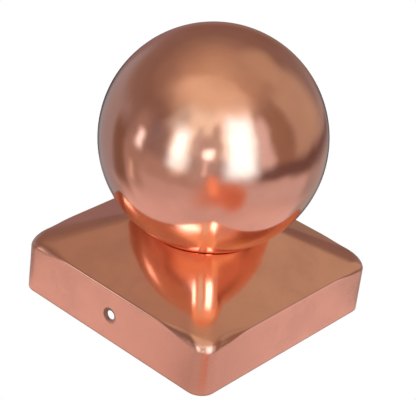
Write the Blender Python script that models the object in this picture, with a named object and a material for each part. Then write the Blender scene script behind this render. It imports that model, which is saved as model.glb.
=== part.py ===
"""Copper cap for a square timber post.

One pressed sheet makes the cap: an upright skirt that slips over the post, a bend that is
tight along the sides and wider round the corners, and a low four-sided roof with softly
rounded ridges. The top of the roof is dished into a round seat, and a polished ball sits
in it. The skirt has a countersunk screw hole in the middle of two opposite sides. The cap
is hollow and open below; the ball is closed.
"""

import math

import bmesh
import bpy
from mathutils import Matrix, Vector

# Post and sheet, in metres
POST_WIDTH = 0.100
POST_PLAY = 0.0005
SHEET = 0.001

# Skirt, and the bend between skirt and roof
SKIRT_HEIGHT = 0.0236
CORNER_RADIUS = 0.0070
BEND_RADIUS = 0.0015
CORNER_BEND_RADIUS = 0.0060
BEND_BLEND = 0.018

# Roof
ROOF_SLOPE = math.radians(25.9)
RIDGE_FOOT_RADIUS = 0.010
RIDGE_TOP_RADIUS = 0.005

# Ball and its seat
BALL_DIAMETER = 0.093
SEAT_RADIUS = 0.025
SEAT_GAP = 0.0003

# Screw holes
SCREW_HOLE_DIAMETER = 0.004
COUNTERSINK_DIAMETER = 0.0072
COUNTERSINK_DEPTH = 0.0007

# How finely curves are divided
CORNER_STEPS = 8
BLEND_STEPS = 3
BEND_STEPS = 4
BALL_SEGMENTS = 64
BALL_RINGS = 32
HOLE_SEGMENTS = 32

# How far a cutter reaches past the face that it opens
OVERSHOOT = 0.002

# Worked out from the values above
HALF_SIDE = POST_WIDTH / 2 + POST_PLAY + SHEET
FOLD = math.pi / 2 - ROOF_SLOPE
BALL_RADIUS = BALL_DIAMETER / 2


def roof_height(half_side):
    """Height of the roof's outer face where its square section has this half side."""
    return SKIRT_HEIGHT + (HALF_SIDE - half_side) * math.tan(ROOF_SLOPE)


# The roof meets the seat at SEAT_RADIUS in the middle of each face
SEAT_SPHERE = BALL_RADIUS + SEAT_GAP
BALL_HEIGHT = roof_height(SEAT_RADIUS) + math.sqrt(SEAT_SPHERE ** 2 - SEAT_RADIUS ** 2)

# A square this large lies wholly inside the seat's circle, so the seat cut takes it away
ROOF_TOP_HALF = SEAT_RADIUS / math.sqrt(2)


def clear_scene():
    for thing in list(bpy.data.objects):
        bpy.data.objects.remove(thing, do_unlink=True)


def copper(name, colour, roughness):
    material = bpy.data.materials.new(name)
    material.use_nodes = True
    shader = material.node_tree.nodes["Principled BSDF"]
    shader.inputs["Base Color"].default_value = colour
    shader.inputs["Metallic"].default_value = 1.0
    shader.inputs["Roughness"].default_value = roughness
    material.diffuse_color = colour
    return material


def add_object(name, bm, material=None):
    """Turns a bmesh into an object; one without a material is a cutter."""
    bmesh.ops.recalc_face_normals(bm, faces=bm.faces)
    mesh = bpy.data.meshes.new(name)
    bm.to_mesh(mesh)
    bm.free()
    thing = bpy.data.objects.new(name, mesh)
    bpy.context.collection.objects.link(thing)
    if material is None:
        thing.hide_render = True
        thing.display_type = "WIRE"
    else:
        mesh.materials.append(material)
    return thing


def cut(thing, cutter):
    """Takes the cutter's shape out of the object."""
    boolean = thing.modifiers.new(cutter.name, "BOOLEAN")
    boolean.operation = "DIFFERENCE"
    boolean.solver = "EXACT"
    boolean.object = cutter


def side_places():
    """Places from one corner to the next, as (share of the side's flat half, share of the corner's bend).

    The first share runs from 1 at one corner to -1 at the next. The second falls smoothly from 1
    at a corner to 0 where the bend has its plain radius.
    """
    blend = BEND_BLEND / (HALF_SIDE - CORNER_RADIUS)
    places = []
    for step in range(1, BLEND_STEPS + 1):
        way = step / BLEND_STEPS
        places.append((1 - blend * way, (1 + math.cos(math.pi * way)) / 2))
    return places + [(-along, share) for along, share in reversed(places)]


def level_outline(bm, depth, turn):
    """Edges of the outline where the sheet has turned this share of its bend, this deep inside the outer face.

    Turn 0 is the top of the upright skirt and turn 1 the foot of the roof. Each point is found on
    the outer face and moved inwards by the depth, square to the face, so the sheet has one thickness.
    """
    tilt = FOLD * turn
    section_radius = CORNER_RADIUS + (RIDGE_FOOT_RADIUS - CORNER_RADIUS) * turn - depth * math.cos(tilt)

    def half_and_height(share):
        bend = BEND_RADIUS + (CORNER_BEND_RADIUS - BEND_RADIUS) * share
        inset = bend * (1 - math.cos(tilt)) + depth * math.cos(tilt)
        start = SKIRT_HEIGHT - bend * math.tan(FOLD / 2)
        return HALF_SIDE - inset, start + (bend - depth) * math.sin(tilt)

    return outline(bm, section_radius, half_and_height)


def outline(bm, section_radius, half_and_height):
    """Edges of a square outline with rounded corners.

    half_and_height gives the half side and the height for a share of the corner's bend.
    """
    points = []
    corner_half, corner_height = half_and_height(1.0)
    flat = corner_half - section_radius
    for corner in range(4):
        quarter = Matrix.Rotation(corner * math.pi / 2, 3, "Z")
        places = []
        for step in range(CORNER_STEPS + 1):
            angle = step / CORNER_STEPS * math.pi / 2
            across = flat + section_radius * math.cos(angle)
            along = flat + section_radius * math.sin(angle)
            places.append(Vector((across, along, corner_height)))
        for along, share in side_places():
            half, height = half_and_height(share)
            places.append(Vector((flat * along, half, height)))
        points += [bm.verts.new(quarter @ place) for place in places]
    return [bm.edges.new(pair) for pair in zip(points, points[1:] + points[:1])]


def cap_solid(name, depth, foot, material=None):
    """The cap's form as a solid block, this deep inside its outer face, down to the foot's height."""
    bm = bmesh.new()
    rings = [outline(bm, CORNER_RADIUS - depth, lambda share: (HALF_SIDE - depth, foot))]
    for step in range(BEND_STEPS + 1):
        rings.append(level_outline(bm, depth, step / BEND_STEPS))
    sideways = depth * math.cos(FOLD)
    top = roof_height(ROOF_TOP_HALF) - depth * math.sin(FOLD)
    rings.append(outline(bm, RIDGE_TOP_RADIUS - sideways, lambda share: (ROOF_TOP_HALF - sideways, top)))
    for lower, upper in zip(rings, rings[1:]):
        bmesh.ops.bridge_loops(bm, edges=lower + upper)
    bmesh.ops.edgeloop_fill(bm, edges=rings[0])
    bmesh.ops.edgeloop_fill(bm, edges=rings[-1])
    return add_object(name, bm, material)


def sphere(name, radius, material=None):
    bm = bmesh.new()
    bmesh.ops.create_uvsphere(bm, u_segments=BALL_SEGMENTS, v_segments=BALL_RINGS, radius=radius)
    thing = add_object(name, bm, material)
    thing.location.z = BALL_HEIGHT
    return thing


def hole_cutter(name, side):
    """A turned cutter for one countersunk screw hole; side is 1 for +X and -1 for -X."""
    hole = SCREW_HOLE_DIAMETER / 2
    mouth = COUNTERSINK_DIAMETER / 2
    outside = HALF_SIDE + OVERSHOOT
    profile = [
        (HALF_SIDE - SHEET - OVERSHOOT, 0.0),
        (HALF_SIDE - SHEET - OVERSHOOT, hole),
        (HALF_SIDE - COUNTERSINK_DEPTH, hole),
        (HALF_SIDE, mouth),
        (outside, mouth),
        (outside, 0.0),
    ]
    bm = bmesh.new()
    points = [bm.verts.new((along, 0.0, out)) for along, out in profile]
    edges = [bm.edges.new(pair) for pair in zip(points, points[1:])]
    bmesh.ops.spin(
        bm,
        geom=points + edges,
        cent=(0.0, 0.0, 0.0),
        axis=(1.0, 0.0, 0.0),
        angle=math.tau,
        steps=HOLE_SEGMENTS,
        use_merge=True,
    )
    bmesh.ops.remove_doubles(bm, verts=bm.verts, dist=1e-6)
    cutter = add_object(name, bm)
    cutter.rotation_euler.z = 0.0 if side > 0 else math.pi
    cutter.location.z = SKIRT_HEIGHT / 2
    return cutter


def make_cap():
    cap = cap_solid("cap", 0.0, 0.0, copper("brushed copper", (0.80, 0.47, 0.36, 1.0), 0.28))
    cavity = cap_solid("cavity", SHEET, -OVERSHOOT)
    cut(cavity, sphere("seat_inside", SEAT_SPHERE + SHEET))
    cut(cap, cavity)
    cut(cap, sphere("seat_outside", SEAT_SPHERE))
    cut(cap, hole_cutter("screw_hole_right", 1))
    cut(cap, hole_cutter("screw_hole_left", -1))
    cap.data.shade_smooth()
    cap.data.set_sharp_from_angle(angle=math.radians(25))
    return cap


def make_ball():
    ball = sphere("ball", BALL_RADIUS, copper("polished copper", (0.80, 0.45, 0.33, 1.0), 0.10))
    ball.data.shade_smooth()
    return ball


clear_scene()
make_cap()
make_ball()
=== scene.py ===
"""Looks for a copper post cap: a folded square cap and the polished ball seated on its roof."""

import math

import bmesh
import bpy
from bpy.props import FloatProperty, FloatVectorProperty, PointerProperty
from mathutils import Matrix, Vector, noise


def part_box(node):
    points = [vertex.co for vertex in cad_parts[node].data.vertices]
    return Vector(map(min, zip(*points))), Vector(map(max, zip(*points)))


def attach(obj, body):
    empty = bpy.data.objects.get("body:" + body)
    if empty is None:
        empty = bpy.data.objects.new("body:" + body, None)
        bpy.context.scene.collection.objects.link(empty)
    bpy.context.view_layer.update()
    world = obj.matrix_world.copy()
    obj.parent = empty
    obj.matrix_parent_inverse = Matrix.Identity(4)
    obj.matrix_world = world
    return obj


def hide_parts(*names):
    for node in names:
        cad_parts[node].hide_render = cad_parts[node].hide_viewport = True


bl_info = {
    "name": "Copper Post Cap",
    "version": (1, 0, 0),
    "blender": (4, 5, 0),
    "location": "View3D > Sidebar > Post Cap",
    "description": "Builds a copper post cap with a ball, its finish and a pale studio",
    "category": "Object",
}

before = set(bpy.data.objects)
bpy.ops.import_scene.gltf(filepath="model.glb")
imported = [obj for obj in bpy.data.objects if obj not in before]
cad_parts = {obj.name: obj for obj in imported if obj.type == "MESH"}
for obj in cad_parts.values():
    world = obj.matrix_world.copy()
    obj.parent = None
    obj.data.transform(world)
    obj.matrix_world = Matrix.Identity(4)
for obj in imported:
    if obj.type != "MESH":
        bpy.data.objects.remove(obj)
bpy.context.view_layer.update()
_, CAP_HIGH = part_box("cap")
BALL_LOW, BALL_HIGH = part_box("ball")

# Sizes read from the frame, in metres
HALF_SIDE = CAP_HIGH[0]
BALL_RADIUS = (BALL_HIGH[2] - BALL_LOW[2]) / 2
BALL_HEIGHT = (BALL_HIGH[2] + BALL_LOW[2]) / 2

# How finely curves are divided
CORNER_STEPS = 16
BLEND_STEPS = 12
SIDE_STEPS = 12
SKIRT_STEPS = 10
BEND_STEPS = 12
ROOF_STEPS = 26
SEAT_STEPS = 10
BALL_SEGMENTS = 160
BALL_RINGS = 80
HOLE_SEGMENTS = 48

# How far a cutter reaches past the face that it opens
OVERSHOOT = 0.002

# The sheet strays fully from true about this far from the ball, with this distance between its swellings
SEAT_HOLD = 0.006
SHEET_SWELL = 0.030

# Which swellings the sheet and the ball get
SHEET_SEED = 3.0
BALL_SEED = 7.0

# Edges that turn more than this are drawn sharp
SHARP_ANGLE = math.radians(30)

# How far below the top of the skirt its satin starts to end, and the roof's bright finish is reached
SATIN_END = 0.0034
BRIGHT_START = 0.0004

# Painted shade darkens the sheet by this share up to the first distance from the front corner, and not at
# all past the second, with an edge that strays by the third; it stands in for a darker reflection there
FRONT_SHADE_SHARE = 0.7
FRONT_SHADE_NEAR = 0.012
FRONT_SHADE_FAR = 0.065
FRONT_SHADE_STRAY = 0.02

# Painted shade darkens the rim by this share at the first height and not at all at the second
RIM_SHADE_SHARE = 0.5
RIM_SHADE_START = 0.0001
RIM_SHADE_END = 0.0011

# How sharply the painted shade in the countersinks ends, and its share where it is deep and where it is
# faint
SHADE_EDGE = 0.0001
DEEP_SHADE = 0.9
FAINT_SHADE = 0.35

# Middle of the painted shade in the front countersink, along Y and Z from the hole's axis
SHADE_OFFSET = (0.0010, 0.0008)

# Noise in the finish: scale per metre, detail and roughness
SHEET_CLOUDS = (60.0, 3.0, 0.6)
SHEET_WAVES = (35.0, 1.0, 0.4)
BALL_CLOUDS = (45.0, 3.0, 0.6)

# Cloudiness at which the copper starts to be dulled, and at which it is dulled fully
SHEET_WEAR = (0.35, 0.70)
BALL_WEAR = (0.35, 0.75)

# Roughness that the clouds add
SHEET_MOTTLE = 0.06
BALL_MOTTLE = 0.04

# Grain at which scratches start to show, and at which they are full
SHEET_SCRATCHES = (0.50, 0.66)
BALL_SCRATCHES = (0.53, 0.70)

# Points closer than this are one, edges this close to the ground may be the rim's, and those of
# them that turn more than this angle are
MERGE_DISTANCE = 1e-6
RIM_REACH = 1e-5
RIM_ANGLE = 1.0

# Rays deeper than this have gone from copper to copper
MIRRORED_DEPTH = 2.5

# The floor lies this far under the rim
FLOOR_DROP = 0.0001

# Dimmer patches of the floor: degrees from the camera's side, then metres from the axis and radius
FLOOR_PATCHES = (
    (14.0, 0.125, 0.042),
    (-4.0, 0.094, 0.026),
    (-99.0, 0.086, 0.022),
    (-116.0, 0.098, 0.036),
    (108.0, 0.084, 0.022),
    (122.0, 0.096, 0.034),
)

# The photograph's width and the camera's focal length, in pixels
PHOTO_WIDTH = 416
FOCAL_PIXELS = 1571


class CapSizes(bpy.types.PropertyGroup):
    """Sizes of the folded cap."""

    sheet: FloatProperty(
        name="Sheet", description="Thickness of the copper sheet",
        default=0.001, min=0.0002, subtype="DISTANCE", unit="LENGTH", precision=5)
    skirt_height: FloatProperty(
        name="Skirt height", description="Height where the planes of skirt and roof meet",
        default=0.0236, subtype="DISTANCE", unit="LENGTH", precision=5)
    corner_radius: FloatProperty(
        name="Corner radius", description="Radius of the upright corners in plan",
        default=0.0070, subtype="DISTANCE", unit="LENGTH", precision=5)
    bend_radius: FloatProperty(
        name="Bend radius", description="Radius between skirt and roof along the sides",
        default=0.0015, subtype="DISTANCE", unit="LENGTH", precision=5)
    corner_bend_radius: FloatProperty(
        name="Corner bend radius", description="Radius between skirt and roof round the corners",
        default=0.0060, subtype="DISTANCE", unit="LENGTH", precision=5)
    bend_blend: FloatProperty(
        name="Bend blend", description="Length over which the bend tightens away from a corner",
        default=0.018, subtype="DISTANCE", unit="LENGTH", precision=5)
    roof_slope: FloatProperty(
        name="Roof slope", description="Slope of the four roof faces",
        default=math.radians(25.9), subtype="ANGLE", unit="ROTATION")
    ridge_foot_radius: FloatProperty(
        name="Ridge foot radius", description="Radius in plan of a ridge at its foot",
        default=0.010, subtype="DISTANCE", unit="LENGTH", precision=5)
    ridge_top_radius: FloatProperty(
        name="Ridge top radius", description="Radius in plan of a ridge under the ball",
        default=0.005, subtype="DISTANCE", unit="LENGTH", precision=5)
    seat_radius: FloatProperty(
        name="Seat radius", description="Distance from the axis to the seat in the middle of a face",
        default=0.025, subtype="DISTANCE", unit="LENGTH", precision=5)
    seat_gap: FloatProperty(
        name="Seat gap", description="Clearance between the ball and its seat",
        default=0.0001, subtype="DISTANCE", unit="LENGTH", precision=5)
    lip_width: FloatProperty(
        name="Lip width", description="Width of the rounded edge between roof and seat",
        default=0.0004, subtype="DISTANCE", unit="LENGTH", precision=5)
    rim_rounding: FloatProperty(
        name="Rim rounding", description="Width of the worn edges along the skirt's rim",
        default=0.0002, subtype="DISTANCE", unit="LENGTH", precision=5)
    hole_diameter: FloatProperty(
        name="Screw hole", description="Diameter of the two screw holes",
        default=0.004, subtype="DISTANCE", unit="LENGTH", precision=5)
    countersink_diameter: FloatProperty(
        name="Countersink", description="Diameter of the countersinks",
        default=0.0072, subtype="DISTANCE", unit="LENGTH", precision=5)
    countersink_depth: FloatProperty(
        name="Countersink depth", description="Depth of the countersinks",
        default=0.0007, subtype="DISTANCE", unit="LENGTH", precision=5)
    unevenness: FloatProperty(
        name="Unevenness", description="How far the hand-folded sheet strays from true",
        default=0.00012, subtype="DISTANCE", unit="LENGTH", precision=5)


class BallSizes(bpy.types.PropertyGroup):
    """Sizes of the ball."""

    ripple: FloatProperty(
        name="Ripple", description="How far the spun ball strays from a true sphere",
        default=0.00004, subtype="DISTANCE", unit="LENGTH", precision=6)
    ripple_size: FloatProperty(
        name="Ripple size", description="Distance from one swelling of the surface to the next",
        default=0.022, subtype="DISTANCE", unit="LENGTH", precision=5)


class CopperLook(bpy.types.PropertyGroup):
    """Colours and roughness of the copper."""

    bright: FloatVectorProperty(
        name="Bright copper", description="Colour of the clean metal",
        default=(0.96, 0.39, 0.27), subtype="COLOR", min=0.0, max=1.0)
    dulled: FloatVectorProperty(
        name="Dulled copper", description="Colour of the handled metal",
        default=(0.87, 0.35, 0.25), subtype="COLOR", min=0.0, max=1.0)
    # Painted shade: darker copper round the front corner, standing in for a darker reflection there
    darkened: FloatVectorProperty(
        name="Shaded copper", description="Colour of the sheet round its most handled corner",
        default=(0.74, 0.28, 0.19), subtype="COLOR", min=0.0, max=1.0)
    # Painted shade along the rim and in the countersinks
    painted_shade: FloatVectorProperty(
        name="Painted shade", description="Colour of the darker rim and of the dirt in the countersinks",
        default=(0.22, 0.10, 0.07), subtype="COLOR", min=0.0, max=1.0)
    ball_roughness: FloatProperty(
        name="Ball roughness", description="Roughness of the polished ball",
        default=0.08, min=0.0, max=1.0, subtype="FACTOR")
    roof_roughness: FloatProperty(
        name="Roof roughness", description="Roughness of the roof",
        default=0.05, min=0.0, max=1.0, subtype="FACTOR")
    skirt_roughness: FloatProperty(
        name="Skirt roughness", description="Roughness of the skirt",
        default=0.24, min=0.0, max=1.0, subtype="FACTOR")
    scratch_roughness: FloatProperty(
        name="Scratch roughness", description="Roughness added where fine scratches lie",
        default=0.34, min=0.0, max=1.0, subtype="FACTOR")
    scratch_size: FloatProperty(
        name="Scratch size", description="Distance from one fine scratch to the next",
        default=0.00009, subtype="DISTANCE", unit="LENGTH", precision=6)


class StudioLook(bpy.types.PropertyGroup):
    """Camera and light."""

    camera_azimuth: FloatProperty(
        name="Camera azimuth", description="Direction of the camera round the cap",
        default=math.radians(-51.19), subtype="ANGLE", unit="ROTATION")
    camera_elevation: FloatProperty(
        name="Camera elevation", description="Height of the camera above the horizon",
        default=math.radians(30.11), subtype="ANGLE", unit="ROTATION")
    camera_distance: FloatProperty(
        name="Camera distance", description="Distance from the camera to its aim",
        default=0.6443, subtype="DISTANCE", unit="LENGTH")
    camera_roll: FloatProperty(
        name="Camera roll", description="Turn of the camera about its view line",
        default=math.radians(7.22), subtype="ANGLE", unit="ROTATION")
    camera_aim: FloatVectorProperty(
        name="Camera aim", description="Point that the camera looks at",
        default=(0.0006, -0.00074, 0.0472), subtype="TRANSLATION", unit="LENGTH")
    floor_radius: FloatProperty(
        name="Floor radius", description="Radius of the pale floor",
        default=0.6, subtype="DISTANCE", unit="LENGTH")
    floor_glow: FloatVectorProperty(
        name="Floor glow", description="Light that the floor throws on the copper close to the cap",
        default=(0.73, 0.77, 0.80), subtype="COLOR", min=0.0, max=2.0)
    near_radius: FloatProperty(
        name="Near floor", description="Radius of the floor that lights the copper",
        default=0.105, subtype="DISTANCE", unit="LENGTH")
    window_light: FloatProperty(
        name="Window light", description="Strength of the two bright windows",
        default=3.4, min=0.0)
    room_drift: FloatProperty(
        name="Room drift", description="How far the panels of the room stray from straight",
        default=0.16, min=0.0, max=1.0, subtype="FACTOR")
    daylight: FloatVectorProperty(
        name="Daylight", description="Tint of all the light on the copper",
        default=(0.99, 1.10, 1.22), subtype="COLOR", min=0.0, max=2.0)
    warmed_light: FloatVectorProperty(
        name="Warmed light", description="Tint of the light that ball and roof mirror to each other",
        default=(1.12, 1.06, 0.94), subtype="COLOR", min=0.0, max=2.0)


class PostCapSettings(bpy.types.PropertyGroup):
    """Everything about the post cap that can be set."""

    cap: PointerProperty(type=CapSizes)
    ball: PointerProperty(type=BallSizes)
    copper: PointerProperty(type=CopperLook)
    studio: PointerProperty(type=StudioLook)


def add_piece(name, bm, material=None):
    """Turns a bmesh into an object at the origin."""
    mesh = bpy.data.meshes.new(name)
    bm.to_mesh(mesh)
    bm.free()
    piece = bpy.data.objects.new(name, mesh)
    bpy.context.scene.collection.objects.link(piece)
    if material is not None:
        mesh.materials.append(material)
    return piece


def side_places(sizes):
    """Places from corner to corner, as (share of the side's flat half, share of the corner's bend)."""
    blend = sizes.bend_blend / (HALF_SIDE - sizes.corner_radius)
    places = []
    for step in range(1, BLEND_STEPS + 1):
        way = step / BLEND_STEPS
        places.append((1 - blend * way, (1 + math.cos(math.pi * way)) / 2))
    middle = [(1 - blend) * (1 - 2 * step / SIDE_STEPS) for step in range(1, SIDE_STEPS)]
    flat = [(along, 0.0) for along in middle]
    back = [(-along, share) for along, share in reversed(places)]
    return places + flat + back


def outline_points(sizes, section_radius, half_and_height):
    """Points of a square outline with rounded corners, anticlockwise.

    half_and_height gives the half side and the height for a share of the corner's bend.
    """
    points = []
    corner_half, corner_height = half_and_height(1.0)
    flat = corner_half - section_radius
    for corner in range(4):
        quarter = Matrix.Rotation(corner * math.pi / 2, 3, "Z")
        for step in range(CORNER_STEPS + 1):
            angle = step / CORNER_STEPS * math.pi / 2
            across = flat + section_radius * math.cos(angle)
            along = flat + section_radius * math.sin(angle)
            points.append(quarter @ Vector((across, along, corner_height)))
        for along, share in side_places(sizes):
            half, height = half_and_height(share)
            points.append(quarter @ Vector((flat * along, half, height)))
    return points


def bend_points(sizes, turn):
    """Outline where the sheet has turned this share of its bend, from 0 at the skirt to 1 at the roof."""
    fold = math.pi / 2 - sizes.roof_slope
    tilt = fold * turn
    section_radius = sizes.corner_radius + (sizes.ridge_foot_radius - sizes.corner_radius) * turn

    def half_and_height(share):
        bend = sizes.bend_radius + (sizes.corner_bend_radius - sizes.bend_radius) * share
        start = sizes.skirt_height - bend * math.tan(fold / 2)
        return HALF_SIDE - bend * (1 - math.cos(tilt)), start + bend * math.sin(tilt)

    return outline_points(sizes, section_radius, half_and_height)


def seat_points(sizes, foot, seat_sphere):
    """Where straight lines up the roof, from the foot's points, meet the seat."""
    top_half = sizes.seat_radius / math.sqrt(2)
    top_height = sizes.skirt_height + (HALF_SIDE - top_half) * math.tan(sizes.roof_slope)
    top = outline_points(sizes, sizes.ridge_top_radius, lambda share: (top_half, top_height))
    middle = Vector((0.0, 0.0, BALL_HEIGHT))
    points = []
    for low, high in zip(foot, top):
        way = (high - low).normalized()
        start = low - middle
        along = start.dot(way)
        reach = -along - math.sqrt(along ** 2 - start.length_squared + seat_sphere ** 2)
        points.append(low + way * reach)
    return points


def add_ring(bm, points):
    """Closed ring of edges through the points."""
    corners = [bm.verts.new(point) for point in points]
    return [bm.edges.new(pair) for pair in zip(corners, corners[1:] + corners[:1])]


def between(low, high, share):
    """Points at this share of the way from the low ones to the high ones."""
    return [a.lerp(b, share) for a, b in zip(low, high)]


def uneven(point, amount, size, seed):
    """A smooth offset that depends on the place alone."""
    return amount * noise.noise(point / size + Vector((seed, seed, seed)))


def cap_sheet(sizes):
    """Outer face of the folded sheet, open along the rim, with the dished seat on top."""
    seat_sphere = BALL_RADIUS + sizes.seat_gap
    bm = bmesh.new()
    skirt_top = bend_points(sizes, 0.0)
    rim = [Vector((point.x, point.y, 0.0)) for point in skirt_top]
    rings = [between(rim, skirt_top, step / SKIRT_STEPS) for step in range(SKIRT_STEPS)]
    rings += [bend_points(sizes, step / BEND_STEPS) for step in range(BEND_STEPS + 1)]
    foot = rings[-1]
    crest = seat_points(sizes, foot, seat_sphere)
    rings += [between(foot, crest, step / ROOF_STEPS) for step in range(1, ROOF_STEPS + 1)]
    middle = Vector((0.0, 0.0, BALL_HEIGHT))
    down = Vector((0.0, 0.0, -1.0))
    for step in range(1, SEAT_STEPS):
        share = step / SEAT_STEPS
        ways = [(point - middle).normalized().slerp(down, share) for point in crest]
        rings.append([middle + way * seat_sphere for way in ways])
    edges = [add_ring(bm, ring) for ring in rings]
    crest_edges = edges[-SEAT_STEPS]
    for lower, upper in zip(edges, edges[1:]):
        bmesh.ops.bridge_loops(bm, edges=lower + upper)
    bmesh.ops.holes_fill(bm, edges=edges[-1])
    last = [face for face in bm.faces if len(face.verts) > 4]
    bmesh.ops.poke(bm, faces=last)
    bmesh.ops.recalc_face_normals(bm, faces=bm.faces)
    bmesh.ops.bevel(bm, geom=crest_edges, offset=sizes.lip_width, segments=4, profile=0.5,
                    affect="EDGES", material=-1, clamp_overlap=True)
    return bm


def warp_sheet(bm, sizes):
    """Lets the faces swell and hollow a little, as folded sheet does, and leaves the rim and seat true."""
    bm.normal_update()
    moves = []
    for vert in bm.verts:
        from_rim = min(1.0, vert.co.z / (sizes.skirt_height / 2))
        from_seat = (vert.co - Vector((0.0, 0.0, BALL_HEIGHT))).length - BALL_RADIUS
        hold = from_rim * min(1.0, max(0.0, from_seat / SEAT_HOLD - 0.1))
        offset = uneven(vert.co, sizes.unevenness, SHEET_SWELL, SHEET_SEED) - sizes.unevenness
        moves.append((vert, vert.normal * offset * hold))
    for vert, move in moves:
        vert.co += move


def hole_cutter(sizes, side):
    """A turned cutter for one countersunk screw hole; side is 1 for +X and -1 for -X."""
    hole = sizes.hole_diameter / 2
    mouth = sizes.countersink_diameter / 2
    profile = [
        (HALF_SIDE - sizes.sheet - OVERSHOOT, 0.0),
        (HALF_SIDE - sizes.sheet - OVERSHOOT, hole),
        (HALF_SIDE - sizes.countersink_depth, hole),
        (HALF_SIDE, mouth),
        (HALF_SIDE + OVERSHOOT, mouth),
        (HALF_SIDE + OVERSHOOT, 0.0),
    ]
    bm = bmesh.new()
    points = [bm.verts.new((along, 0.0, out)) for along, out in profile]
    edges = [bm.edges.new(pair) for pair in zip(points, points[1:])]
    bmesh.ops.spin(bm, geom=points + edges, cent=(0.0, 0.0, 0.0), axis=(1.0, 0.0, 0.0),
                   angle=math.tau, steps=HOLE_SEGMENTS, use_merge=True)
    bmesh.ops.remove_doubles(bm, verts=bm.verts, dist=MERGE_DISTANCE)
    turn = Matrix.Rotation(0.0 if side > 0 else math.pi, 4, "Z")
    place = Matrix.Translation((0.0, 0.0, sizes.skirt_height / 2)) @ turn
    bmesh.ops.transform(bm, matrix=place, verts=bm.verts)
    bmesh.ops.recalc_face_normals(bm, faces=bm.faces)
    return add_piece("screw_hole", bm)


def cut_away(piece, cutters):
    """Takes the cutters out of the piece for good."""
    for cutter in cutters:
        boolean = piece.modifiers.new(cutter.name, "BOOLEAN")
        boolean.operation = "DIFFERENCE"
        boolean.solver = "EXACT"
        boolean.object = cutter
    evaluated = piece.evaluated_get(bpy.context.evaluated_depsgraph_get())
    mesh = bpy.data.meshes.new_from_object(evaluated)
    piece.modifiers.clear()
    old = piece.data
    piece.data = mesh
    bpy.data.meshes.remove(old)
    for cutter in cutters:
        bpy.data.objects.remove(cutter, do_unlink=True)


class NodeTree:
    """Short ways to add and join shader nodes."""

    def __init__(self, tree):
        self.tree = tree

    def add(self, kind, inputs=(), **settings):
        node = self.tree.nodes.new(kind)
        for key, value in settings.items():
            setattr(node, key, value)
        for key, value in dict(inputs).items():
            socket = node.inputs[key]
            if isinstance(value, bpy.types.NodeSocket):
                self.tree.links.new(value, socket)
            else:
                socket.default_value = value
        return node

    def math(self, operation, first, second=0.0, third=0.0):
        node = self.add("ShaderNodeMath", {0: first, 1: second, 2: third}, operation=operation)
        return node.outputs[0]

    def vector(self, operation, first, second=(0.0, 0.0, 0.0)):
        return self.add("ShaderNodeVectorMath", {0: first, 1: second}, operation=operation).outputs[0]

    def distance(self, first, second):
        node = self.add("ShaderNodeVectorMath", {0: first, 1: second}, operation="DISTANCE")
        return node.outputs["Value"]

    def remap(self, value, low, high, to_low=0.0, to_high=1.0, smooth=False):
        kind = "SMOOTHSTEP" if smooth else "LINEAR"
        inputs = {"Value": value, "From Min": low, "From Max": high, "To Min": to_low, "To Max": to_high}
        return self.add("ShaderNodeMapRange", inputs, interpolation_type=kind).outputs[0]

    def mix(self, share, first, second):
        """Colour between first and second."""
        node = self.tree.nodes.new("ShaderNodeMix")
        node.data_type = "RGBA"
        sockets = [s for s in node.inputs if s.enabled]
        for socket, value in zip(sockets, (share, first, second)):
            if isinstance(value, bpy.types.NodeSocket):
                self.tree.links.new(value, socket)
            else:
                socket.default_value = value
        return [s for s in node.outputs if s.enabled][0]

    def noise(self, place, scale, detail, roughness):
        inputs = {"Vector": place, "Scale": scale, "Detail": detail, "Roughness": roughness}
        return self.add("ShaderNodeTexNoise", inputs).outputs["Fac"]


def new_material(name):
    """A material, its node tree and its Principled shader."""
    material = bpy.data.materials.new(name)
    material.use_nodes = True
    tree = NodeTree(material.node_tree)
    return material, tree, material.node_tree.nodes["Principled BSDF"]


def opaque(colour):
    """The colour with an alpha of 1."""
    return (*colour, 1.0)


def scratches(tree, place, look, low, high):
    """Share of fine scratches at a place: none where the grain is under low, full over high."""
    grain = tree.noise(place, 1.0 / look.scratch_size, 1.0, 0.5)
    return tree.remap(grain, low, high, smooth=True)


def countersink_shade(tree, place, sizes):
    """Share of painted shade in the countersinks, deepest at the upper left of the front one."""
    out = tree.vector("ABSOLUTE", place)
    mouth = sizes.countersink_diameter / 2
    middle = sizes.skirt_height / 2
    to_axis = tree.distance(out, (HALF_SIDE, 0.0, middle))
    inside = tree.remap(to_axis, mouth - 3 * SHADE_EDGE, mouth + SHADE_EDGE, 1.0, 0.0)
    along, above = SHADE_OFFSET
    to_shade = tree.distance(place, (-HALF_SIDE, along, middle + above))
    shade_depth = tree.remap(to_shade, mouth * 0.7, mouth * 1.3, DEEP_SHADE, FAINT_SHADE, smooth=True)
    return tree.math("MULTIPLY", inside, shade_depth)


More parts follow.
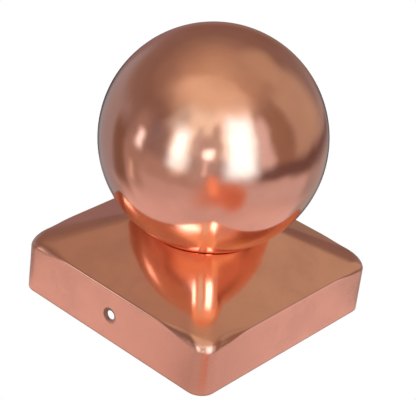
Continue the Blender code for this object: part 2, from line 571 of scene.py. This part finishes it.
def sheet_copper(look, sizes):
    """Folded sheet: a bright roof and a satin skirt, both finely scratched and a little mottled, with
    painted shade round the front corner, along the rim and in the countersinks.
    """
    material, tree, shader = new_material("folded copper sheet")
    place = tree.add("ShaderNodeTexCoord").outputs["Object"]
    height = tree.add("ShaderNodeSeparateXYZ", {0: place}).outputs["Z"]
    satin_end = sizes.skirt_height - SATIN_END
    bright_start = sizes.skirt_height - BRIGHT_START
    roof = tree.remap(height, satin_end, bright_start, smooth=True)
    clouds = tree.noise(place, *SHEET_CLOUDS)
    wear = tree.remap(clouds, *SHEET_WEAR, smooth=True)
    patchy = tree.mix(wear, opaque(look.bright), opaque(look.dulled))
    # Painted shade round the front corner: a darker reflection painted into the colour
    from_corner = tree.distance(place, (-HALF_SIDE, -HALF_SIDE, 0.0))
    uneven_reach = tree.math("MULTIPLY_ADD", clouds, FRONT_SHADE_STRAY, from_corner)
    darkened = tree.remap(uneven_reach, FRONT_SHADE_NEAR, FRONT_SHADE_FAR, FRONT_SHADE_SHARE, 0.0, smooth=True)
    with_front_shade = tree.mix(darkened, patchy, opaque(look.darkened))
    # Painted shade: darker along the rim, where the skirt meets the floor, and in the countersinks
    rim = tree.remap(height, RIM_SHADE_START, RIM_SHADE_END, RIM_SHADE_SHARE, 0.0, smooth=True)
    painted_shade = tree.math("MAXIMUM", rim, countersink_shade(tree, place, sizes))
    colour = tree.mix(painted_shade, with_front_shade, opaque(look.painted_shade))
    calm = tree.remap(roof, 0.0, 1.0, look.skirt_roughness, look.roof_roughness)
    spread = tree.math("MULTIPLY_ADD", clouds, SHEET_MOTTLE, calm)
    scratched = scratches(tree, place, look, *SHEET_SCRATCHES)
    depth = tree.remap(roof, 0.0, 1.0, look.scratch_roughness, look.scratch_roughness * 0.5)
    roughness = tree.math("ADD", tree.math("MULTIPLY", scratched, depth), spread)
    shader.inputs["Metallic"].default_value = 1.0
    tree.tree.links.new(colour, shader.inputs["Base Color"])
    tree.tree.links.new(roughness, shader.inputs["Roughness"])
    waves = tree.noise(place, *SHEET_WAVES)
    bump = tree.add("ShaderNodeBump", {"Height": waves, "Strength": 0.05, "Distance": 0.0004})
    tree.tree.links.new(bump.outputs[0], shader.inputs["Normal"])
    return material


def polished_copper(look):
    """The ball: mirror bright, with a faint haze of polishing scratches."""
    material, tree, shader = new_material("polished copper ball")
    place = tree.add("ShaderNodeTexCoord").outputs["Object"]
    clouds = tree.noise(place, *BALL_CLOUDS)
    wear = tree.remap(clouds, *BALL_WEAR, smooth=True)
    colour = tree.mix(wear, opaque(look.bright), opaque(look.dulled))
    spread = tree.math("MULTIPLY_ADD", clouds, BALL_MOTTLE, look.ball_roughness)
    scratched = scratches(tree, place, look, *BALL_SCRATCHES)
    roughness = tree.math("MULTIPLY_ADD", scratched, look.scratch_roughness * 0.6, spread)
    shader.inputs["Metallic"].default_value = 1.0
    tree.tree.links.new(colour, shader.inputs["Base Color"])
    tree.tree.links.new(roughness, shader.inputs["Roughness"])
    return material


def floor_paper(studio):
    """Pale floor: white to look at, and glowing on the copper close to the cap.

    Further out, and in the dimmer patches, the copper mirrors the room's panels.
    """
    material = bpy.data.materials.new("pale floor")
    material.use_nodes = True
    material.node_tree.nodes.clear()
    tree = NodeTree(material.node_tree)
    place = tree.add("ShaderNodeTexCoord").outputs["Object"]
    from_axis = tree.distance(place, (0.0, 0.0, 0.0))
    near = tree.remap(from_axis, studio.near_radius * 0.7, studio.near_radius * 1.3, 1.0, 0.0, smooth=True)
    for turn, reach, radius in FLOOR_PATCHES:
        azimuth = studio.camera_azimuth + math.radians(turn - 90.0)
        middle = (reach * math.cos(azimuth), reach * math.sin(azimuth), 0.0)
        bare = tree.remap(tree.distance(place, middle), radius * 0.6, radius * 1.4, smooth=True)
        near = tree.math("MULTIPLY", near, bare)
    seen = tree.add("ShaderNodeLightPath").outputs["Is Camera Ray"]
    share = tree.math("MAXIMUM", seen, near)
    colour = tree.mix(seen, opaque(studio.floor_glow), (1.0, 1.0, 1.0, 1.0))
    glow = tree.add("ShaderNodeEmission", {"Color": colour, "Strength": 1.0})
    clear = tree.add("ShaderNodeBsdfTransparent")
    both = tree.add("ShaderNodeMixShader", {0: share, 1: clear.outputs[0], 2: glow.outputs[0]})
    tree.add("ShaderNodeOutputMaterial", {"Surface": both.outputs[0]})
    return material


class RoomLight:
    """Room seen by the copper, painted on the sky as soft-edged panels.

    Angles are in degrees. Azimuth is measured from the camera's side, positive to its right.
    """

    def __init__(self, studio, world):
        world.use_nodes = True
        world.node_tree.nodes.clear()
        self.tree = NodeTree(world.node_tree)
        towards = math.radians(-90.0) + studio.camera_azimuth
        self.towards = math.degrees(towards)
        straight = self.tree.add("ShaderNodeTexCoord").outputs["Generated"]
        drift = self.tree.add("ShaderNodeTexNoise", {"Vector": straight, "Scale": 3.0, "Detail": 1.0})
        centred = self.tree.vector("SUBTRACT", drift.outputs["Color"], (0.5, 0.5, 0.5))
        shift = self.tree.vector("MULTIPLY", centred, (studio.room_drift,) * 3)
        self.way = self.tree.vector("NORMALIZE", self.tree.vector("ADD", straight, shift))
        up = self.tree.add("ShaderNodeSeparateXYZ", {0: self.way}).outputs["Z"]
        self.elevation = self.tree.math("ARCSINE", up)
        depth = self.tree.add("ShaderNodeLightPath").outputs["Ray Depth"]
        self.mirrored_before = self.tree.math("GREATER_THAN", depth, MIRRORED_DEPTH)
        self.colour = None

    def gradient(self, stops):
        """Plain room: colours by elevation."""
        ramp = self.tree.add("ShaderNodeValToRGB")
        quarter = math.pi / 2
        share = self.tree.remap(self.elevation, -quarter, quarter)
        self.tree.tree.links.new(share, ramp.inputs[0])
        elements = ramp.color_ramp.elements
        while len(elements) < len(stops):
            elements.new(0.5)
        for element, (elevation, colour) in zip(elements, stops):
            element.position = (elevation + 90.0) / 180.0
            element.color = opaque(colour)
        self.colour = ramp.outputs[0]

    def panel(self, azimuth, elevation, half_width, half_height, soft, colour, slant=0.0, between=False):
        """Soft-edged rectangle of another colour.

        A slant raises it by that much per degree to the right. A panel between the ball and the roof
        is seen only in light that the copper has already mirrored once.
        """
        angle = -math.radians(self.towards + azimuth)
        turn = {"Vector": self.way, "Axis": (0.0, 0.0, 1.0), "Angle": angle}
        turned = self.tree.add("ShaderNodeVectorRotate", turn).outputs[0]
        parts = self.tree.add("ShaderNodeSeparateXYZ", {0: turned}).outputs
        sideways = self.tree.math("ARCTAN2", parts["Y"], parts["X"])
        middle = self.tree.math("MULTIPLY_ADD", sideways, slant, math.radians(elevation))
        upwards = self.tree.math("SUBTRACT", self.elevation, middle)
        share = None
        for value, half in ((sideways, half_width), (upwards, half_height)):
            distance = self.tree.math("ABSOLUTE", value)
            inner = math.radians(half - soft)
            outer = math.radians(half + soft)
            edge = self.tree.remap(distance, inner, outer, 1.0, 0.0, smooth=True)
            share = edge if share is None else self.tree.math("MULTIPLY", share, edge)
        if between:
            share = self.tree.math("MULTIPLY", share, self.mirrored_before)
        self.colour = self.tree.mix(share, self.colour, opaque(colour))

    def finish(self, daylight, warmed):
        """White to the camera, the painted room to all else, warmer where the copper mirrors itself."""
        seen = self.tree.add("ShaderNodeLightPath").outputs["Is Camera Ray"]
        tint = self.tree.mix(self.mirrored_before, opaque(daylight), opaque(warmed))
        tinted = self.tree.vector("MULTIPLY", self.colour, tint)
        colour = self.tree.mix(seen, tinted, (1.0, 1.0, 1.0, 1.0))
        light = self.tree.add("ShaderNodeBackground", {"Color": colour, "Strength": 1.0})
        self.tree.add("ShaderNodeOutputWorld", {"Surface": light.outputs[0]})


def paint_room(studio):
    """Paints what the copper mirrors: each panel lies over the ones before it."""
    world = bpy.data.worlds.new("soft studio")
    bpy.context.scene.world = world
    room = RoomLight(studio, world)
    room.gradient([
        (-90, (0.62, 0.60, 0.56)),
        (-45, (0.64, 0.62, 0.59)),
        (-28, (0.56, 0.54, 0.50)),
        (-15, (0.42, 0.39, 0.35)),
        (0, (0.27, 0.25, 0.23)),
        (30, (0.25, 0.21, 0.17)),
        (45, (0.34, 0.30, 0.23)),
        (60, (0.47, 0.42, 0.31)),
        (75, (0.55, 0.52, 0.36)),
        (90, (0.64, 0.62, 0.43)),
    ])
    bright = studio.window_light
    # Light from above and from the sides
    room.panel(-15, 66, 75, 17, 16, (0.80, 0.82, 0.61))
    room.panel(135, 50, 24, 15, 9, (0.50, 0.48, 0.35))
    room.panel(112, 18, 25, 27, 10, (0.50, 0.50, 0.38))
    room.panel(75, 16, 14, 26, 7, (0.30, 0.24, 0.17))
    # Low light to the right, the dark edge over it, and dimmer light to the left
    room.panel(70, -28, 40, 10, 6, (0.62, 0.64, 0.62))
    room.panel(100, -14, 52, 6, 4, (0.15, 0.11, 0.10), slant=-0.13)
    room.panel(-140, -21, 42, 29, 10, (0.35, 0.39, 0.40))
    room.panel(180, 8, 22, 14, 12, (0.24, 0.16, 0.12))
    room.panel(-100, -28, 10, 28, 6, (0.21, 0.16, 0.12))
    room.panel(-78, -8, 8, 30, 7, (0.38, 0.35, 0.30))
    room.panel(143, -34, 30, 13, 7, (0.40, 0.42, 0.38))
    # Small lights to the left, and dimmer strips beside and below them
    room.panel(-75, 1, 4, 6, 4, (1.7, 2.2, 2.3))
    room.panel(-82, -27, 2, 7, 3, (0.85, 0.86, 0.74))
    room.panel(-60, 14, 6, 10, 5, (0.26, 0.26, 0.27))
    room.panel(-35, -16, 30, 8, 5, (0.44, 0.40, 0.34))
    # Haze round the two bright panels, and the strips between them
    room.panel(0, 30, 44, 22, 9, (0.95, 1.20, 1.00))
    room.panel(22, 40, 24, 14, 9, (1.05, 1.25, 1.08))
    room.panel(-42, 34, 10, 13, 9, (0.60, 0.72, 0.64))
    room.panel(-5, 4, 13, 24, 6, (0.48, 0.50, 0.46))
    room.panel(-15, 22, 3, 14, 4, (0.58, 0.62, 0.60))
    room.panel(4, 28, 5, 13, 4, (0.50, 0.52, 0.44))
    room.panel(-3, 11, 4, 5, 3, (2.2, 3.0, 3.0))
    room.panel(-4, -3, 2, 7, 2, (1.0, 1.1, 1.0))
    room.panel(56, 18, 8, 22, 5, (0.72, 0.79, 0.79))
    # Warm light from low in front
    room.panel(-2, -34, 10, 10, 9, (0.60, 0.42, 0.33))
    room.panel(18, -28, 18, 13, 10, (0.72, 0.31, 0.17), slant=-0.25)
    room.panel(28, -31, 10, 9, 8, (0.60, 0.25, 0.13), slant=-0.25)
    room.panel(6, -19, 4, 9, 4, (1.05, 0.54, 0.28), slant=-0.4)
    # The two bright panels, each over a wider dim one
    room.panel(-29, -6, 6, 8, 6, (0.95, 1.15, 1.0), slant=0.3)
    room.panel(-32, 11, 9, 19, 7, (1.3, 2.3, 2.5))
    room.panel(30, 17, 14, 28, 9, (1.4, 2.6, 3.0))
    room.panel(-33, 13, 5, 11, 4, (bright, bright, bright))
    room.panel(28, 17, 8, 14, 5, (bright, bright, bright))
    # Dark behind, where the outlines and the far faces mirror it
    room.panel(180, -29, 24, 17, 11, (0.05, 0.04, 0.04))
    room.panel(-170, -7, 15, 8, 5, (0.30, 0.19, 0.16))
    room.panel(174, -12, 9, 7, 5, (0.30, 0.19, 0.12))
    # Only in light that the ball and the roof have mirrored to each other
    room.panel(6, -14, 64, 13, 8, (0.80, 1.00, 0.78), between=True)
    room.panel(60, -19, 24, 11, 6, (1.0, 1.5, 1.1), between=True)
    room.panel(78, -4, 14, 14, 8, (0.60, 0.66, 0.58), between=True)
    room.panel(78, 47, 22, 13, 8, (0.62, 0.76, 0.58), between=True)
    room.panel(6, 42, 58, 17, 8, (0.96, 1.50, 1.25), between=True)
    room.panel(-72, 26, 20, 20, 8, (0.47, 0.60, 0.52), between=True)
    room.panel(-75, 2, 9, 11, 4, (0.48, 0.56, 0.54), between=True)
    room.panel(-84, 25, 4, 5, 3, (2.2, 3.8, 4.6), between=True)
    room.panel(-7, 16, 10, 25, 6, (0.82, 2.40, 3.10), between=True)
    room.panel(50, 12, 9, 24, 5, (0.68, 1.20, 1.50), between=True)
    room.panel(-36, 14, 8, 14, 5, (3.5, 9.0, 14.0), between=True)
    room.panel(24, 14, 10, 19, 5, (4.0, 11.0, 17.0), between=True)
    room.finish(studio.daylight, studio.warmed_light)


def aim_camera(studio):
    """Camera at the photograph's viewing angle."""
    lens = bpy.data.cameras.new("camera")
    lens.sensor_width = 36.0
    lens.lens = FOCAL_PIXELS * lens.sensor_width / PHOTO_WIDTH
    lens.clip_start = 0.01
    camera = bpy.data.objects.new("camera", lens)
    bpy.context.scene.collection.objects.link(camera)
    azimuth, elevation = studio.camera_azimuth, studio.camera_elevation
    back = Vector((math.sin(azimuth) * math.cos(elevation), -math.cos(azimuth) * math.cos(elevation),
                   math.sin(elevation)))
    right = Vector((math.cos(azimuth), math.sin(azimuth), 0.0))
    up = back.cross(right)
    level = Matrix((right, up, back)).transposed().to_4x4()
    place = Vector(studio.camera_aim) + back * studio.camera_distance
    camera.matrix_world = Matrix.Translation(place) @ level @ Matrix.Rotation(studio.camera_roll, 4, "Z")
    bpy.context.scene.camera = camera


class POSTCAP_OT_cap(bpy.types.Operator):
    """Builds the folded copper cap with its screw holes and the seat for the ball"""

    bl_idname = "post_cap.cap"
    bl_label = "Folded Cap"
    bl_options = {"REGISTER", "UNDO"}

    def execute(self, context):
        settings = context.scene.post_cap
        sizes = settings.cap
        bm = cap_sheet(sizes)
        warp_sheet(bm, sizes)
        bmesh.ops.solidify(bm, geom=bm.faces, thickness=sizes.sheet)
        bmesh.ops.recalc_face_normals(bm, faces=bm.faces)
        rim = [edge for edge in bm.edges
               if all(vert.co.z < RIM_REACH for vert in edge.verts)
               and edge.calc_face_angle(0.0) > RIM_ANGLE]
        bmesh.ops.bevel(bm, geom=rim, offset=sizes.rim_rounding, segments=3, profile=0.5,
                        affect="EDGES", material=-1)
        piece = add_piece("folded_cap", bm, sheet_copper(settings.copper, sizes))
        cut_away(piece, [hole_cutter(sizes, 1), hole_cutter(sizes, -1)])
        piece.data.shade_smooth()
        piece.data.set_sharp_from_angle(angle=SHARP_ANGLE)
        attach(piece, "root")
        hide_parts("cap")
        return {"FINISHED"}


class POSTCAP_OT_ball(bpy.types.Operator):
    """Builds the polished copper ball"""

    bl_idname = "post_cap.ball"
    bl_label = "Polished Ball"
    bl_options = {"REGISTER", "UNDO"}

    def execute(self, context):
        settings = context.scene.post_cap
        sizes = settings.ball
        bm = bmesh.new()
        place = Matrix.Translation((0.0, 0.0, BALL_HEIGHT))
        bmesh.ops.create_uvsphere(bm, u_segments=BALL_SEGMENTS, v_segments=BALL_RINGS,
                                  radius=BALL_RADIUS, matrix=place)
        bm.normal_update()
        for vert in bm.verts:
            swell = uneven(vert.co, sizes.ripple, sizes.ripple_size, BALL_SEED) - sizes.ripple
            vert.co += vert.normal * swell
        piece = add_piece("polished_ball", bm, polished_copper(settings.copper))
        piece.data.shade_smooth()
        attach(piece, "root")
        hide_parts("ball")
        return {"FINISHED"}


class POSTCAP_OT_stage(bpy.types.Operator):
    """Adds the pale floor, the room's soft light and the camera"""

    bl_idname = "post_cap.stage"
    bl_label = "Studio"
    bl_options = {"REGISTER", "UNDO"}

    def execute(self, context):
        studio = context.scene.post_cap.studio
        bm = bmesh.new()
        bmesh.ops.create_circle(bm, cap_ends=True, segments=96, radius=studio.floor_radius)
        floor = add_piece("floor", bm, floor_paper(studio))
        floor.location.z = -FLOOR_DROP
        paint_room(studio)
        aim_camera(studio)
        context.scene.view_settings.view_transform = "Standard"
        return {"FINISHED"}


class POSTCAP_PT_sidebar(bpy.types.Panel):
    """Lists the pieces of the post cap and their sizes"""

    bl_idname = "POSTCAP_PT_sidebar"
    bl_label = "Post Cap"
    bl_space_type = "VIEW_3D"
    bl_region_type = "UI"
    bl_category = "Post Cap"

    def draw(self, context):
        settings = context.scene.post_cap
        sections = (
            ("post_cap.cap", (settings.cap,)),
            ("post_cap.ball", (settings.ball, settings.copper)),
            ("post_cap.stage", (settings.studio,)),
        )
        for operator, groups in sections:
            box = self.layout.box()
            box.operator(operator)
            for group in groups:
                for name in group.__annotations__:
                    box.prop(group, name)


CLASSES = (
    CapSizes,
    BallSizes,
    CopperLook,
    StudioLook,
    PostCapSettings,
    POSTCAP_OT_cap,
    POSTCAP_OT_ball,
    POSTCAP_OT_stage,
    POSTCAP_PT_sidebar,
)


def register():
    for item in CLASSES:
        bpy.utils.register_class(item)
    bpy.types.Scene.post_cap = PointerProperty(type=PostCapSettings)


def unregister():
    del bpy.types.Scene.post_cap
    for item in reversed(CLASSES):
        bpy.utils.unregister_class(item)


def main():
    register()
    bpy.ops.post_cap.stage()
    bpy.ops.post_cap.cap()
    bpy.ops.post_cap.ball()


if __name__ == "__main__":
    main()
